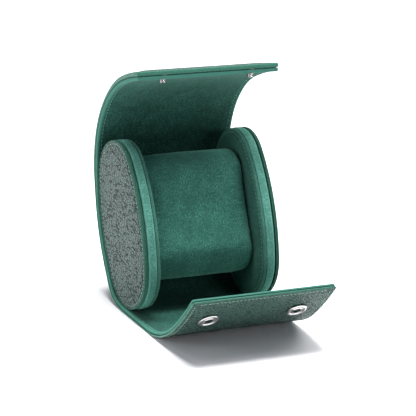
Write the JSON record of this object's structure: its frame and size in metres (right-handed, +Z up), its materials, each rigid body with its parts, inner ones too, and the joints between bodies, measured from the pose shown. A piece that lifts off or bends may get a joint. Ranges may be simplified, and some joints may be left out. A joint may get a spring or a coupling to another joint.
{
  "type": "watch travel case",
  "caption": "Open travel case for one wristwatch: a stiff leather wrap with suede lining, padded oval end caps, a removable pillow, and a lid and flap that close with press studs.",
  "frame": {"origin": "middle of the open case's outline on the ground", "axes": "X along the case between its end caps, -Y to the front where the flap opens, +Z up"},
  "size_m": [0.082, 0.1266, 0.1308],
  "materials": {
    "leather": "pebbled grain, semi-matt",
    "leather_cap": "pebbled grain, semi-matt",
    "suede_lining": "short suede nap",
    "suede_cap": "short suede nap",
    "suede_pillow": "short suede nap",
    "board": "plain grey-brown fibreboard, hidden",
    "foam": "plain foam, hidden",
    "snap_metal": "polished plating",
    "hidden_metal": "plain, hidden",
    "spring_wire": "drawn wire"
  },
  "bodies": {
    "case_back": {"back_leather": "leather", "back_board": "board", "back_lining": "suede_lining", "left_cap_leather": "leather_cap", "left_cap_board": "board", "left_cap_foam": "foam", "left_cap_rim": "suede_cap", "left_cap_inner_panel": "suede_cap", "right_cap_leather": "leather_cap", "right_cap_board": "board", "right_cap_foam": "foam", "right_cap_rim": "suede_cap", "right_cap_inner_panel": "suede_cap"},
    "lid_panel_1": {"lid_leather_1": "leather", "lid_board_1": "board", "lid_lining_1": "suede_lining"},
    "lid_panel_2": {"lid_leather_2": "leather", "lid_board_2": "board", "lid_lining_2": "suede_lining"},
    "lid_panel_3": {"lid_leather_3": "leather", "lid_board_3": "board", "lid_lining_3": "suede_lining"},
    "lid_panel_4": {"lid_leather_4": "leather", "lid_board_4": "board", "lid_lining_4": "suede_lining", "snap_studs": "snap_metal", "snap_stud_posts": "hidden_metal"},
    "flap_panel_1": {"flap_leather_1": "leather", "flap_board_1": "board", "flap_lining_1": "suede_lining"},
    "flap_panel_2": {"flap_leather_2": "leather", "flap_board_2": "board", "flap_lining_2": "suede_lining"},
    "flap_panel_3": {"flap_leather_3": "leather", "flap_board_3": "board", "flap_lining_3": "suede_lining", "snap_sockets": "snap_metal", "snap_spring_wires": "spring_wire", "snap_rivets": "hidden_metal"},
    "pillow": {"pillow_foam": "foam", "pillow_cover": "suede_pillow", "pillow_end_panels": "suede_pillow"}
  },
  "joints": [
    {"name": "lid_fold_1", "type": "hinge", "parent": "case_back", "child": "lid_panel_1", "pos_m": [0, 0.06015, 0.06741], "axis": [1, 0, 0], "range_deg": [0, 23.3]},
    {"name": "lid_fold_2", "type": "hinge", "parent": "lid_panel_1", "child": "lid_panel_2", "pos_m": [0, 0.06038, 0.08189], "axis": [1, 0, 0], "range_deg": [0, 27.81]},
    {"name": "lid_fold_3", "type": "hinge", "parent": "lid_panel_2", "child": "lid_panel_3", "pos_m": [0, 0.05679, 0.09588], "axis": [1, 0, 0], "range_deg": [0, 8.7]},
    {"name": "lid_fold_4", "type": "hinge", "parent": "lid_panel_3", "child": "lid_panel_4", "pos_m": [0, 0.04932, 0.10825], "axis": [1, 0, 0], "range_deg": [0, 15.46]},
    {"name": "flap_fold_1", "type": "hinge", "parent": "case_back", "child": "flap_panel_1", "pos_m": [0, 0.01117, 0.0026], "axis": [-1, 0, 0], "range_deg": [0, 25.4]},
    {"name": "flap_fold_2", "type": "hinge", "parent": "flap_panel_1", "child": "flap_panel_2", "pos_m": [0, 0.00017, 0.0026], "axis": [-1, 0, 0], "range_deg": [0, 37.12]},
    {"name": "flap_fold_3", "type": "hinge", "parent": "flap_panel_2", "child": "flap_panel_3", "pos_m": [0, -0.01082, 0.0026], "axis": [-1, 0, 0], "range_deg": [0, 12.56]},
    {"name": "pillow_slide", "type": "slide", "parent": "case_back", "child": "pillow", "axis": [0, -0.8988, 0.4384], "range_m": [0, 0.007]}
  ],
  "couplings": [
    {"joint": "lid_fold_2", "follows": "lid_fold_1", "ratio": 1.193},
    {"joint": "lid_fold_3", "follows": "lid_fold_1", "ratio": 0.373},
    {"joint": "lid_fold_4", "follows": "lid_fold_1", "ratio": 0.663},
    {"joint": "flap_fold_2", "follows": "flap_fold_1", "ratio": 1.461},
    {"joint": "flap_fold_3", "follows": "flap_fold_1", "ratio": 0.494}
  ]
}
